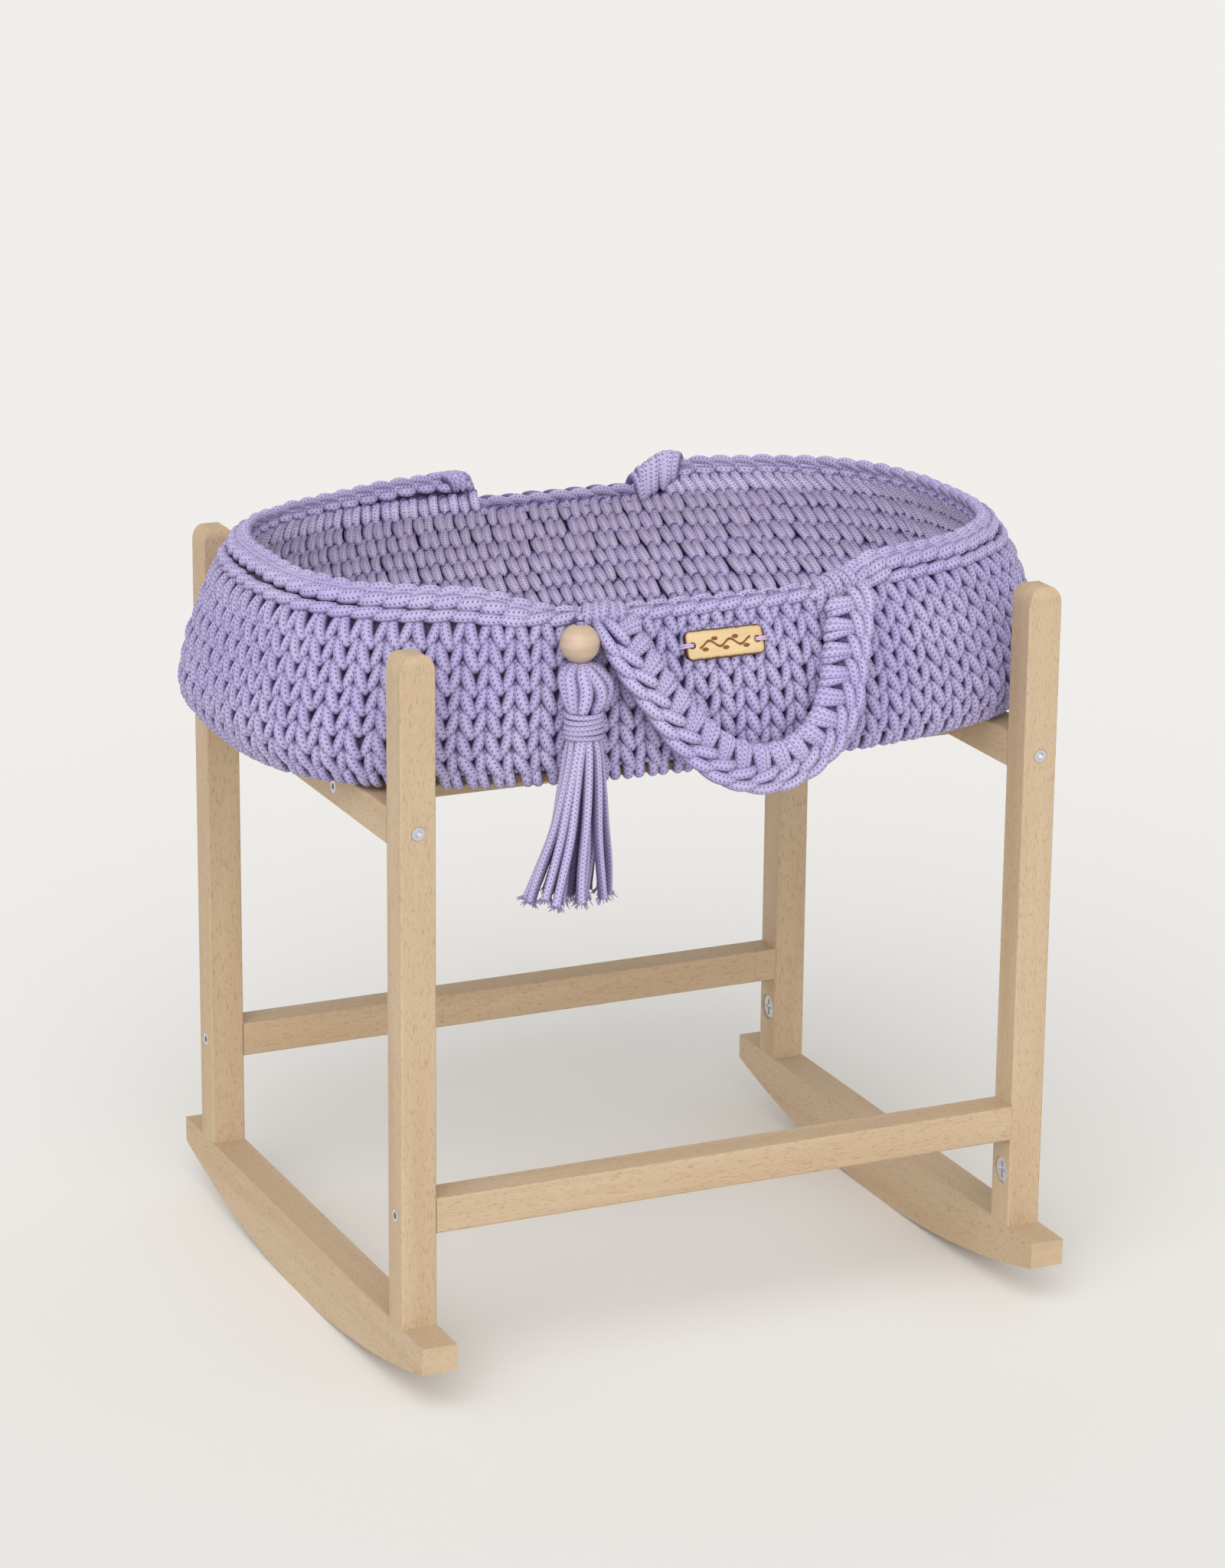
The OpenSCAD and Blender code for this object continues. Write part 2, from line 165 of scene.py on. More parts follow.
def floor_and_light():
    g = Graph("floor_paper")
    sep = g.node("ShaderNodeSeparateXYZ")
    g.put(sep.inputs[0], g.place((0.416, 0.909, 1)))
    # painted shade: darker towards the camera side
    near = g.step(g.math("ADD", sep.outputs[0], sep.outputs[1]), -1.0, 0.5)
    g.set(Base_Color=g.mix(near, FLOOR_NEAR, FLOOR_FAR), Roughness=0.9)
    g.bsdf.inputs["Specular IOR Level"].default_value = 0.1
    mesh = bpy.data.meshes.new("floor")
    s = FLOOR_HALF
    mesh.from_pydata([(-s, -s, 0), (s, -s, 0), (s, s, 0), (-s, s, 0)], [], [(0, 1, 2, 3)])
    mesh.materials.append(g.mat)
    floor = bpy.data.objects.new("floor", mesh)
    bpy.context.scene.collection.objects.link(floor)
    world = bpy.data.worlds.new("studio")
    bpy.context.scene.world = world
    world.use_nodes = True
    back = next(n for n in world.node_tree.nodes if n.type == "BACKGROUND")
    back.inputs["Strength"].default_value = SKY_STRENGTH
    # the sky of the studio is a little brighter low down than overhead
    nt = world.node_tree
    coord, split = nt.nodes.new("ShaderNodeTexCoord"), nt.nodes.new("ShaderNodeSeparateXYZ")
    fade = nt.nodes.new("ShaderNodeMapRange")
    mix = nt.nodes.new("ShaderNodeMix")
    mix.data_type = "RGBA"
    nt.links.new(coord.outputs["Generated"], split.inputs[0])
    nt.links.new(split.outputs[2], fade.inputs[0])
    nt.links.new(fade.outputs[0], mix.inputs[0])
    mix.inputs[6].default_value = SKY_LOW
    mix.inputs[7].default_value = SKY_HIGH
    nt.links.new(mix.outputs[2], back.inputs["Color"])
    for name, energy, angle, tilt, turn in SUNS:
        sun = bpy.data.lights.new(name, "SUN")
        sun.energy = energy
        sun.angle = math.radians(angle)
        sun.color = SUN_COLOR
        obj = bpy.data.objects.new(name, sun)
        obj.rotation_euler = (math.radians(tilt), 0, math.radians(turn))
        bpy.context.scene.collection.objects.link(obj)


floor_and_light()
# the view transform is part of the look: plain film response, no tone curve
bpy.context.scene.view_settings.view_transform = "Standard"


# ---------------------------------------------------------------- materials

LILAC = (0.452, 0.405, 0.69, 1)
# painted shade: the next colour is what the cord is darkened to in creases, knit holes and tucked ends
LILAC_SHADE = (0.06, 0.043, 0.135, 1)
LILAC_WARM = (0.515, 0.465, 0.70, 1)


def cord_material(name, light, deep, warm, hole_shade=0.8):
    """Knitted cotton cord: u runs round the cord, v along it, both in turns of its girth."""
    # deep is the colour of the painted shade; the last argument sets how dark the painted shade in the knit
    # holes is
    g = Graph(name)
    uv = g.node("ShaderNodeUVMap", uv_map="cord")
    sep = g.node("ShaderNodeSeparateXYZ")
    g.put(sep.inputs[0], uv.outputs["UV"])
    wales = g.math("MULTIPLY", sep.outputs[0], 8.0)
    courses = g.math("MULTIPLY", sep.outputs[1], 7.0)
    column = g.math("FLOOR", wales)
    odd = g.math("MULTIPLY", g.math("MODULO", column, 2.0), 0.5)
    fu = g.math("SUBTRACT", g.math("FRACT", wales), 0.5)
    fv = g.math("SUBTRACT", g.math("FRACT", g.math("ADD", courses, odd)), 0.5)
    lean = g.math("MULTIPLY", g.math("SUBTRACT", odd, 0.25), 1.6)
    du = g.math("ADD", fu, g.math("MULTIPLY", fv, lean))
    dist = g.math("SQRT", g.math("ADD", g.math("POWER", g.math("MULTIPLY", du, 1.5), 2.0),
                                 g.math("POWER", fv, 2.0)))
    # painted shade: the knit holes and the furrows between the wales are darkened towards the shade colour
    hole = g.step(dist, 0.34, 0.14)
    ridge = g.math("MULTIPLY", g.math("ABSOLUTE", fu), 2.0)
    # painted shade: this per-vertex value holds the shade painted into creases, tucked ends and hidden
    # strands, with a little random tone, and darkens the cord towards its shade colour
    tone = g.node("ShaderNodeAttribute", attribute_name="tone")
    broad = g.noise(g.place((1, 1, 1)), 22.0, 2.0)
    fine = g.noise(g.place((1, 1, 1)), 900.0, 2.0, 0.6)
    base = g.mix(g.step(broad, 0.3, 0.7), light, warm)
    base = g.mix(g.math("MULTIPLY", g.step(fine, 0.35, 0.75), 0.12), base, (0.72, 0.68, 0.92, 1))
    base = g.mix(g.math("MULTIPLY", ridge, 0.13), base, deep)
    base = g.mix(g.math("MULTIPLY", hole, hole_shade), base, deep)
    shade = g.math("MULTIPLY", tone.outputs["Fac"], 1.0, clamp=True)
    base = g.mix(shade, base, deep)
    g.set(Base_Color=base, Roughness=0.92, Sheen_Weight=0.1, Sheen_Roughness=0.5)
    g.bsdf.inputs["Specular IOR Level"].default_value = 0.15
    height = g.math("SUBTRACT", g.math("ADD", g.math("MULTIPLY", fine, 0.35), 0.4),
                    g.math("ADD", g.math("MULTIPLY", hole, 0.8), g.math("MULTIPLY", ridge, 0.4)))
    g.bump(height, 0.55, 0.0006)
    return g.mat


def wood_material(name, grain, light, dark, fleck, seed=0.0, pores=0.55):
    """Beech: fine flecks and pores drawn out along the grain axis."""
    g = Graph(name)

    def along(long_scale, cross_scale):
        s = [cross_scale] * 3
        s[grain] = long_scale
        return g.place(tuple(s), (seed, seed * 0.7, seed * 1.3))

    band = g.noise(along(2.2, 34.0), 1.0, 3.0, 0.55, 0.6)
    fine = g.noise(along(14.0, 420.0), 1.0, 2.0, 0.6)
    pore = g.noise(along(260.0, 1900.0), 1.0, 1.0, 0.5)
    flecks = g.step(pore, 0.60, 0.70)
    rays = g.step(g.noise(along(150.0, 1000.0), 1.0, 1.0, 0.4), 0.62, 0.72)
    base = g.mix(g.step(band, 0.32, 0.68), light, dark)
    base = g.mix(g.math("MULTIPLY", g.step(fine, 0.35, 0.7), 0.30), base, dark)
    base = g.mix(g.math("MULTIPLY", flecks, pores), base, fleck)
    base = g.mix(g.math("MULTIPLY", rays, pores * 0.6), base, fleck)
    g.set(Base_Color=base, Roughness=0.62)
    g.bsdf.inputs["Specular IOR Level"].default_value = 0.3
    g.bump(g.math("SUBTRACT", g.math("MULTIPLY", fine, 0.3), g.math("ADD", flecks, rays)), 0.25, 0.0003)
    return g.mat


BEECH_LIGHT = (0.545, 0.42, 0.285, 1)
BEECH_DARK = (0.485, 0.352, 0.225, 1)
BEECH_FLECK = (0.30, 0.20, 0.115, 1)
beech = [wood_material("beech_" + "xyz"[k], k, BEECH_LIGHT, BEECH_DARK, BEECH_FLECK, 3.1 * k)
         for k in range(3)]


def metal_material(name, color, rough):
    g = Graph(name)
    spot = g.noise(g.place((1, 1, 1)), 700.0, 3.0)
    g.set(Base_Color=g.mix(spot, color, tuple(0.75 * c for c in color[:3]) + (1,)),
          Metallic=1.0, Roughness=g.step(spot, 0.2, 0.8, rough - 0.08, rough + 0.1))
    g.bump(spot, 0.15, 0.0002)
    return g.mat


def ply_board_material():
    """Birch plywood: pale faces, laser-burnt golden brown edge."""
    g = Graph("plywood")
    geo = g.node("ShaderNodeNewGeometry")
    sep = g.node("ShaderNodeSeparateXYZ")
    g.put(sep.inputs[0], geo.outputs["Normal"])
    flat = g.step(g.math("ABSOLUTE", sep.outputs[2]), 0.3, 0.7)
    grain = g.noise(g.place((3.0, 60.0, 60.0)), 1.0, 4.0, 0.6, 0.8)
    face = g.mix(g.step(grain, 0.3, 0.7), (0.60, 0.52, 0.42, 1), (0.52, 0.44, 0.34, 1))
    edge = g.mix(g.step(grain, 0.3, 0.7), (0.42, 0.24, 0.09, 1), (0.26, 0.13, 0.045, 1))
    g.set(Base_Color=g.mix(flat, edge, face), Roughness=0.7)
    g.bump(grain, 0.1, 0.0003)
    return g.mat


def tag_material():
    """Thin plywood tag: pale golden face, scorched rim and holes, a burnt-in wave with small leaves."""
    g = Graph("tag_wood")
    sep, geo, facing = (g.node("ShaderNodeSeparateXYZ"), g.node("ShaderNodeNewGeometry"),
                        g.node("ShaderNodeSeparateXYZ"))
    g.put(sep.inputs[0], g.place((1000, 1000, 1000), (-TAG_X, -TAG_Y, -TAG_Z)))
    g.put(facing.inputs[0], geo.outputs["Normal"])
    x = sep.outputs[0]
    y = g.math("ADD", g.math("MULTIPLY", sep.outputs[1], TAG_SIN),
               g.math("MULTIPLY", sep.outputs[2], TAG_COS))

    def ellipse(cx, cy, rx, ry, px=x, py=y):
        across = g.math("POWER", g.math("DIVIDE", g.math("SUBTRACT", px, cx), rx), 2.0)
        upward = g.math("POWER", g.math("DIVIDE", g.math("SUBTRACT", py, cy), ry), 2.0)
        return g.math("SQRT", g.math("ADD", across, upward))

    def slab(p, half, corner):
        return g.math("MAXIMUM", g.math("SUBTRACT", g.math("ABSOLUTE", p), half - corner), 0.0)

    edge = g.math("SUBTRACT", g.math("SQRT", g.math("ADD", g.math("POWER", slab(x, 23, 3), 2.0),
                                                    g.math("POWER", slab(y, 8, 3), 2.0))), 3.0)
    rough = g.math("MULTIPLY", g.math("SUBTRACT", g.noise(g.place((1, 1, 1)), 300.0), 0.5), 1.2)
    burn = g.step(g.math("ADD", edge, rough), -1.5, -0.35)
    for side in (-19, 19):
        burn = g.math("MAXIMUM", burn, g.step(g.math("ADD", ellipse(side, 0, 1, 1), rough), 2.3, 1.5))
    side_face = g.step(facing.outputs[1], -0.6, -0.8, 1.0, 0.0)
    burn = g.math("MAXIMUM", burn, side_face)
    swell = g.math("MULTIPLY", g.math("SINE", g.math("MULTIPLY", x, 0.52)), 1.7)
    wave = g.math("ABSOLUTE", g.math("SUBTRACT", y, swell))
    mark = g.step(wave, 1.0, 0.5)
    for k in range(-2, 3):
        lift = 2.7 if k % 2 else -2.7
        mark = g.math("MAXIMUM", mark, g.step(ellipse(k * 6.04 + 0.2, lift, 2.0, 1.15), 1.15, 0.8))
    mark = g.math("MULTIPLY", mark, g.step(g.math("ABSOLUTE", x), 15.6, 14.6))
    grain = g.step(g.noise(g.place((25.0, 420.0, 420.0)), 1.0, 3.0, 0.6), 0.3, 0.7)
    face = g.mix(grain, (0.74, 0.585, 0.35, 1), (0.66, 0.50, 0.27, 1))
    face = g.mix(g.step(edge, -6.0, -1.0, 0.0, 0.35), face, (0.50, 0.28, 0.08, 1))
    face = g.mix(mark, face, (0.20, 0.06, 0.015, 1))
    g.set(Base_Color=g.mix(burn, face, (0.075, 0.03, 0.015, 1)), Roughness=0.6)
    g.bump(g.math("SUBTRACT", 1.0, g.math("MAXIMUM", mark, burn)), 0.4, 0.0003)
    return g.mat


def round_wood_material(name, light, dark):
    g = Graph(name)
    ring = g.noise(g.place((40, 40, 260)), 1.0, 3.0, 0.5, 0.4)
    g.set(Base_Color=g.mix(g.step(ring, 0.3, 0.7), light, dark), Roughness=0.45)
    g.bump(ring, 0.05, 0.0002)
    return g.mat


cord_out = cord_material("lilac_cord", LILAC, LILAC_SHADE, LILAC_WARM)
# painted light: the inside of the wall is the same lilac cord, made brighter and bluer to stand in for the
# light on the inner wall; its dark colour is the painted shade
cord_inside_brightened = cord_material("lilac_cord_inside_brightened", (0.75, 0.69, 1.0, 1), (0.05, 0.035, 0.19, 1),
                        (0.77, 0.71, 1.0, 1))
thread = cord_material("thread", (0.66, 0.50, 0.74, 1), (0.30, 0.18, 0.36, 1),
                       (0.70, 0.52, 0.72, 1), 0.2)
zinc = metal_material("zinc", (0.78, 0.78, 0.80, 1), 0.34)


def dress(node, material):
    obj = nodes[node]
    if obj.data.materials:
        for i in range(len(obj.data.materials)):
            obj.data.materials[i] = material
    else:
        obj.data.materials.append(material)


GRAIN = {
    "rocker_left": 1, "rocker_right": 1,
    "post_front_left": 2, "post_front_right": 2, "post_back_left": 2, "post_back_right": 2,
    "stretcher_front": 0, "stretcher_back": 0, "cross_rail_left": 1, "cross_rail_right": 1,
    "bearer_front": 0, "bearer_back": 0,
}
for node, axis in GRAIN.items():
    dress(node, beech[axis])
for node in ("stretcher_screws", "rail_screws", "bearer_screws", "cam_discs", "cam_bolts"):
    dress(node, zinc)
dress("base_board", ply_board_material())
dress("tag", tag_material())
dress("bead", round_wood_material("bead_wood", (0.555, 0.425, 0.32, 1), (0.485, 0.355, 0.255, 1)))


# ---------------------------------------------------------------- basket surface, as in the CAD source

BASE_Z = 326 * MM
LEVEL_L = np.array([0.956, 1, 0.986, 0.960, 0.927, 0.873]) * 242 * MM
LEVEL_W = np.array([0.987, 1, 0.987, 0.961, 0.914, 0.862]) * 152 * MM
RIM_HIGH, RIM_BACK, RIM_LOW = 431 * MM, 434 * MM, 417 * MM
OUTLINE_N = 2.8
WALL_T = 10 * MM
COUNT = 90


def curve(values, t):
    values = np.asarray(values, float)
    last = len(values) - 1
    s = np.clip(t, 0, 1) * last
    i = np.minimum(s.astype(int), last - 1)
    f = s - i
    if values.ndim > 1:
        f = f[..., None]
    a, b = values[np.maximum(i - 1, 0)], values[i]
    c, d = values[i + 1], values[np.minimum(i + 2, last)]
    return 0.5 * (2 * b + (c - a) * f + (2 * a - 5 * b + 4 * c - d) * f ** 2
                  + (3 * b - a - 3 * c + d) * f ** 3)


def ease(t):
    t = np.clip(t, 0, 1)
    return t * t * (3 - 2 * t)


def ramp(x, x0, x1, a, b):
    return a + (b - a) * ease((x - x0) / (x1 - x0))


def bulge(c, n=OUTLINE_N):
    return np.sign(c) * np.abs(c) ** (2 / n)


def rim_height(a):
    x = LEVEL_L[5] * bulge(np.cos(a))
    front = np.where(x < 0, ramp(x, -0.146, -0.078, RIM_HIGH, RIM_LOW),
                     ramp(x, 0.062, 0.100, RIM_LOW, RIM_HIGH))
    left = ramp(x, -0.150, -0.060, RIM_HIGH, RIM_BACK)
    left = left + (RIM_LOW - left) * ease((x + 0.041) / 0.010)
    back = np.where(x < 0, left, ramp(x, 0.060, 0.105, RIM_LOW, RIM_HIGH))
    return np.where(np.sin(a) < 0, front, back)


def level_point(a, t, off):
    return np.stack([(curve(LEVEL_L, t) - off) * bulge(np.cos(a)),
                     (curve(LEVEL_W, t) - off) * bulge(np.sin(a))], -1)


def running_length(points):
    return np.concatenate([[0], np.cumsum(np.linalg.norm(np.diff(points, axis=0), axis=1))])


# length along the middle height of the wall, from the angle 0
ANGLES = np.linspace(0, 2 * math.pi, 6001)
LENGTHS = running_length(level_point(ANGLES, np.full_like(ANGLES, 0.5), 0.0))
GIRTH = LENGTHS[-1]


def angle_at(f):
    return np.interp(np.mod(f, 1.0), LENGTHS / GIRTH, ANGLES)


def wall(f, z, off):
    """Point of the wall at share f of its girth, height z, set in by off."""
    f, z, off = np.broadcast_arrays(np.asarray(f, float), z, off)
    a = angle_at(f)
    x = (curve(LEVEL_L, (z - BASE_Z) / (RIM_HIGH - BASE_Z)) - off) * bulge(np.cos(a))
    y = (curve(LEVEL_W, (z - BASE_Z) / (RIM_LOW - BASE_Z)) - off) * bulge(np.sin(a))
    return np.stack([x, y, z], -1)


def wall_normal(f, z):
    e = 0.0006
    du = wall(f + e, z, 0.0) - wall(f - e, z, 0.0)
    dw = wall(f, z + 0.002, 0.0) - wall(f, z - 0.002, 0.0)
    n = np.cross(du, dw)
    return n / np.linalg.norm(n, axis=-1, keepdims=True)


# ---------------------------------------------------------------- cord strands

class Strands:
    """Collects short lengths of cord and makes one mesh of them."""

    # the third argument sets how strongly painted shade darkens the flanks of each cord
    def __init__(self, name, material, crease_shade=0.8):
        self.name, self.material, self.crease_shade = name, material, crease_shade
        self.verts, self.quads, self.uvs, self.tones, self.total = [], [], [], [], 0

    def add(self, path, normal, wide, thick, tone=0.0, sides=10, round_ends=True):
        path = np.asarray(path, float)
        if path.ndim == 2:
            path = path[None]
        normal = np.broadcast_to(normal, path.shape)
        count, n, _ = path.shape
        wide = np.broadcast_to(wide, (count, n)).copy()
        thick = np.broadcast_to(thick, (count, n)).copy()
        tone = np.broadcast_to(tone, (count, n))
        if round_ends:
            for end in (0, -1):
                wide[:, end] *= 0.18
                thick[:, end] *= 0.18
        tan = np.gradient(path, axis=1)
        tan /= np.linalg.norm(tan, axis=-1, keepdims=True) + 1e-12
        side = np.cross(tan, normal)
        side /= np.linalg.norm(side, axis=-1, keepdims=True) + 1e-12
        up = np.cross(side, tan)
        a = np.linspace(0, 2 * math.pi, sides, endpoint=False)
        ring = (path[:, :, None] + wide[:, :, None, None] * np.cos(a)[:, None] * side[:, :, None]
                + thick[:, :, None, None] * np.sin(a)[:, None] * up[:, :, None])
        base = self.total + (np.arange(count) * n * sides)[:, None, None]
        i = np.arange(n - 1)[:, None] * sides
        j = np.arange(sides)[None, :]
        j2 = (j + 1) % sides
        quad = np.stack([i + j, i + j2, i + sides + j2, i + sides + j], -1)
        quad = base[..., None] + quad[None]
        length = np.concatenate([np.zeros((count, 1)),
                                 np.cumsum(np.linalg.norm(np.diff(path, axis=1), axis=-1), axis=1)], 1)
        v = length / (5 * MM * math.pi) + rng.random((count, 1))
        u = (np.arange(sides + 1) / sides)[None, None, :]
        shape = (count, n - 1, sides)
        u0, u1 = np.broadcast_to(u[..., :-1], shape), np.broadcast_to(u[..., 1:], shape)
        v0, v1 = np.broadcast_to(v[:, :-1, None], shape), np.broadcast_to(v[:, 1:, None], shape)
        uv = np.stack([np.stack([u0, v0], -1), np.stack([u1, v0], -1),
                       np.stack([u1, v1], -1), np.stack([u0, v1], -1)], -2)
        self.verts.append(ring.reshape(-1, 3))
        self.quads.append(quad.reshape(-1, 4))
        self.uvs.append(uv.reshape(-1, 2))
        # painted shade: the flanks of each cord fall away into the crease beside it and are darkened there
        crease_shade = self.crease_shade * (1 - ease((np.sin(a) - 0.12) / 0.84))
        self.tones.append((tone[..., None] + crease_shade).reshape(-1))
        self.total += count * n * sides

    def build(self, body, *replaced):
        mesh = bpy.data.meshes.new(self.name)
        mesh.from_pydata(np.concatenate(self.verts).tolist(), [], np.concatenate(self.quads).tolist())
        mesh.uv_layers.new(name="cord").data.foreach_set("uv", np.concatenate(self.uvs).ravel())
        # the per-vertex value stored here is mostly painted shade, with a little random tone
        mesh.attributes.new("tone", "FLOAT", "POINT").data.foreach_set("value", np.concatenate(self.tones))
        mesh.polygons.foreach_set("use_smooth", [True] * len(mesh.polygons))
        mesh.materials.append(self.material)
        obj = bpy.data.objects.new(self.name, mesh)
        bpy.context.scene.collection.objects.link(obj)
        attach(obj, body)
        if replaced:
            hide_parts(*replaced)
        return obj


def spline(points, n):
    """Smooth curve through a few given points."""
    return curve(np.asarray(points, float), np.linspace(0, 1, n))


def on_wall(f0, z0, local, off=0.0):
    """Local points (u along the girth, w up, n out), in mm, placed on the wall at every f0 and z0."""
    local = np.asarray(local, float) * MM
    f0, z0 = np.atleast_1d(f0), np.atleast_1d(z0)
    if local.ndim == 2:
        local = local[None]
    f = f0[:, None] + local[..., 0] / GIRTH
    z = z0[:, None] + local[..., 1] * 0.97
    return wall(f, z, off - local[..., 2]), wall_normal(f, z)


def jitter(points, count, amount):
    """The same local path for every stitch, each one moved a little."""
    pts = np.repeat(np.asarray(points, float)[None], count, 0)
    shift = rng.normal(0, amount, (count, 1, 3)) * np.array([1, 1, 0.5])
    bend = rng.normal(0, amount * 0.6, (count, 1, 3))
    return pts + shift + bend * np.sin(np.linspace(0, math.pi, pts.shape[1]))[None, :, None]


ROWS = 7
ROW_H = 11.05
ROW_Z0 = 337.0
INSIDE_ROWS, INSIDE_Z0 = 9, 339.5
# share of the girth at the middle of each stitch
STITCHES = (np.arange(COUNT) + 0.5) / COUNT


def fat(n, lo, hi, peak=0.5, sharp=0.8):
    """Radius along a leaf-shaped length of cord."""
    t = np.linspace(0, 1, n)
    t = np.where(t < peak, 0.5 * t / peak, 0.5 + 0.5 * (t - peak) / (1 - peak))
    return (lo + (hi - lo) * np.sin(math.pi * t) ** sharp) * MM


def outside_rows():
    n = 12
    left = spline([(-6.0, 8.0, -4.0), (-5.4, 5.2, -1.8), (-4.0, 1.2, -0.8),
                   (-2.3, -3.0, -0.5), (-0.7, -6.4, -1.6), (0.1, -8.0, -4.0)], n)
    right = spline([(4.7, 8.6, -4.2), (5.2, 5.8, -2.2), (4.7, 1.8, -1.4),
                    (3.5, -2.0, -1.1), (2.1, -5.0, -2.2), (1.4, -6.6, -4.4)], n)
    behind = spline([(-8.6, -5.2, -5.0), (-7.0, -4.0, -2.9), (-5.2, -3.4, -2.9), (-3.4, -2.6, -4.6)], 7)
    t = np.linspace(0, 1, n)
    # painted shade: both ends of each leg are darkened where they tuck under the next row, and the strand
    # behind is darkened throughout (0.30); a little random tone is added on top
    tone = np.interp(t, [0, 0.25, 0.8, 1], [0.7, 0.1, 0.0, 0.7])
    leaf = np.interp(t, [0, 0.15, 0.42, 0.8, 1], [1.8, 3.0, 3.85, 3.4, 2.5]) * MM
    for row in range(ROWS):
        s = Strands("outside_row_%d" % (row + 1), cord_out, crease_shade=1.05)
        f0 = STITCHES
        z0 = np.full(COUNT, (ROW_Z0 + ROW_H * (row + 0.5)) * MM)
        for points, wide, thick, shade in ((left, leaf * 1.03, leaf * 0.82, tone),
                                       (right, leaf * 0.86, leaf * 0.78, tone),
                                       (behind, fat(7, 1.4, 2.3), fat(7, 1.4, 2.2), 0.30)):
            path, normal = on_wall(f0, z0, jitter(points, COUNT, 0.28))
            s.add(path, normal, wide, thick, shade + rng.uniform(0, 0.08, (COUNT, 1)))
        s.build("basket", *(("wall",) if row == 0 else ()))


def inside_rows():
    n = 9
    first = spline([(7.4, 7.0, 4.8), (5.8, 4.2, 2.3), (3.4, 0.4, 1.5), (1.0, -3.4, 1.8),
                    (-1.0, -7.0, 4.4)], n)
    second = spline([(-0.2, 7.8, 5.0), (-1.5, 4.8, 2.8), (-3.2, 1.0, 2.1), (-5.0, -2.8, 2.4),
                     (-6.4, -6.4, 4.8)], n)
    # painted shade: the ends of each bar are darkened where they tuck into the wall
    tone = np.abs(np.linspace(-1, 1, n)) ** 3 * 0.5
    for row in range(INSIDE_ROWS):
        s = Strands("inside_row_%d" % (row + 1), cord_inside_brightened, crease_shade=0.5)
        z = INSIDE_Z0 + ROW_H * row
        f0 = STITCHES
        if row >= 7:
            keep = rim_height(angle_at(f0)) > (z + 7) * MM
            f0 = f0[keep]
        if len(f0) == 0:
            continue
        z0 = np.full(len(f0), z * MM)
        for points, wide, thick in ((first, fat(n, 2.3, 3.6), fat(n, 1.8, 3.0)),
                                    (second, fat(n, 2.1, 3.1), fat(n, 1.7, 2.8))):
            local = jitter(points, len(f0), 0.42)
            local[..., 2] = -local[..., 2]
            path, normal = on_wall(f0, z0, local + np.array([0, 0, 5.2]), WALL_T + 5.2 * MM - 2.4 * MM)
            s.add(path, -normal, wide, thick, tone + rng.uniform(0, 0.08, (len(f0), 1)))
        s.build("basket")


outside_rows()
inside_rows()


def wall_core():
    """Deep strands between the two faces of the wall, seen only down the gaps."""
    n, rows = 336, 12
    f = np.arange(n) / n
    foot = 334.5 * MM
    top = rim_height(angle_at(f)) - 5 * MM
    grid = np.stack([wall(f, foot + (top - foot) * k / (rows - 1), 5.2 * MM) for k in range(rows)], 1)
    verts = grid.reshape(-1, 3)
    quads = [(i * rows + k, ((i + 1) % n) * rows + k, ((i + 1) % n) * rows + k + 1, i * rows + k + 1)
             for i in range(n) for k in range(rows - 1)]
    s = Strands("wall_core", cord_out)
    s.verts, s.quads = [verts], [np.array(quads)]
    s.uvs = [np.tile([[0, 0], [1, 0], [1, 1], [0, 1]], (len(quads), 1)) * 0.7]
    # painted shade: these hidden strands are darkened throughout, for the shade down the gaps
    s.tones = [np.full(len(verts), 0.8)]
    s.build("basket")


wall_core()


# ---------------------------------------------------------------- rim and lacing

